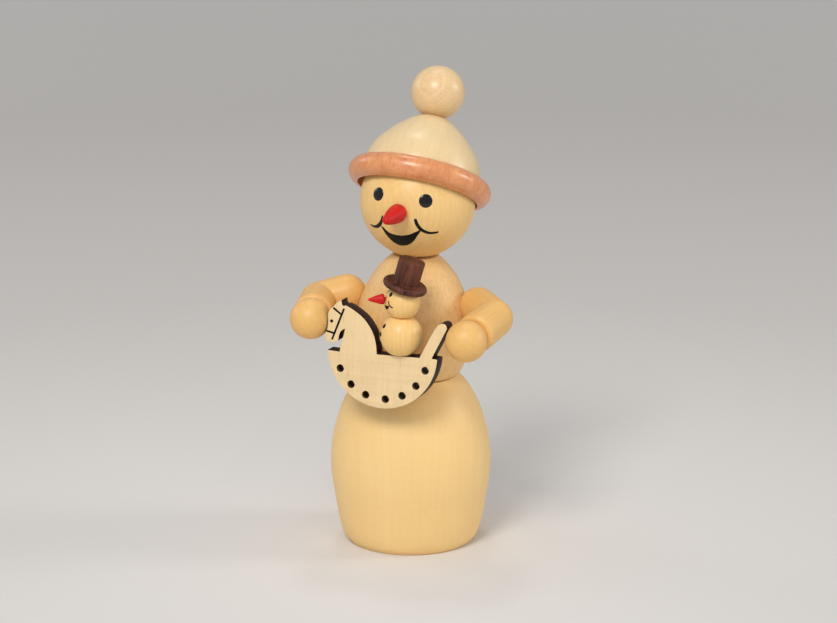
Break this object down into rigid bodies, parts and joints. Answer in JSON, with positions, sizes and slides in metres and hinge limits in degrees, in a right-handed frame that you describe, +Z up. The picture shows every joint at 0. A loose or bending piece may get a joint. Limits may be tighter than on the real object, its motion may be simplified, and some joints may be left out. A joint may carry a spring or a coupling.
{
  "type": "wooden snowman figure",
  "caption": "Turned wooden snowman figure with a bobble hat, holding a small plywood rocking horse that carries a toy snowman; stands free on its flat base.",
  "frame": {"origin": "centre of the flat base, on the surface that the figure stands on", "axes": "+Z up; -Y is the front, where the face looks; +X is the figure's own left"},
  "size_m": [0.055, 0.046, 0.1169],
  "materials": {
    "body_wood": "satin clear lacquer over pale turned hardwood, fine upright grain",
    "torso_wood": "satin clear lacquer over slightly flecked pale hardwood",
    "head_wood": "satin clear lacquer over pale turned hardwood",
    "hat_wood": "satin clear lacquer over pale hardwood",
    "brim_stain": "terracotta stain under satin lacquer",
    "arm_wood": "satin clear lacquer, slightly more yellow",
    "red_stain": "red stain, satin",
    "plywood": "raw fine plywood with charred laser-cut edges",
    "toy_wood": "satin clear lacquer over pale turned hardwood",
    "toy_hat_stain": "dark brown stain with the grain showing",
    "dowel_wood": "raw beech dowel, hidden",
    "black_paint": "black lacquer paint of the eyes, mouth and buttons"
  },
  "bodies": {
    "root": {"lower_body": "body_wood", "upper_body": "torso_wood", "waist_dowel": "dowel_wood", "head": "head_wood", "neck_dowel": "dowel_wood", "nose": "red_stain", "hat_crown": "hat_wood", "hat_brim": "brim_stain", "bobble": "hat_wood", "bobble_dowel": "dowel_wood", "upper_arm_left": "arm_wood", "forearm_left": "arm_wood", "hand_left": "arm_wood", "shoulder_dowel_left": "dowel_wood", "upper_arm_right": "arm_wood", "forearm_right": "arm_wood", "hand_right": "arm_wood", "shoulder_dowel_right": "dowel_wood", "rocking_horse": "plywood", "toy_body": "toy_wood", "toy_seat_pin": "dowel_wood", "toy_neck_pin": "dowel_wood", "toy_head": "toy_wood", "toy_nose": "red_stain", "toy_hat": "toy_hat_stain"}
  },
  "joints": []
}
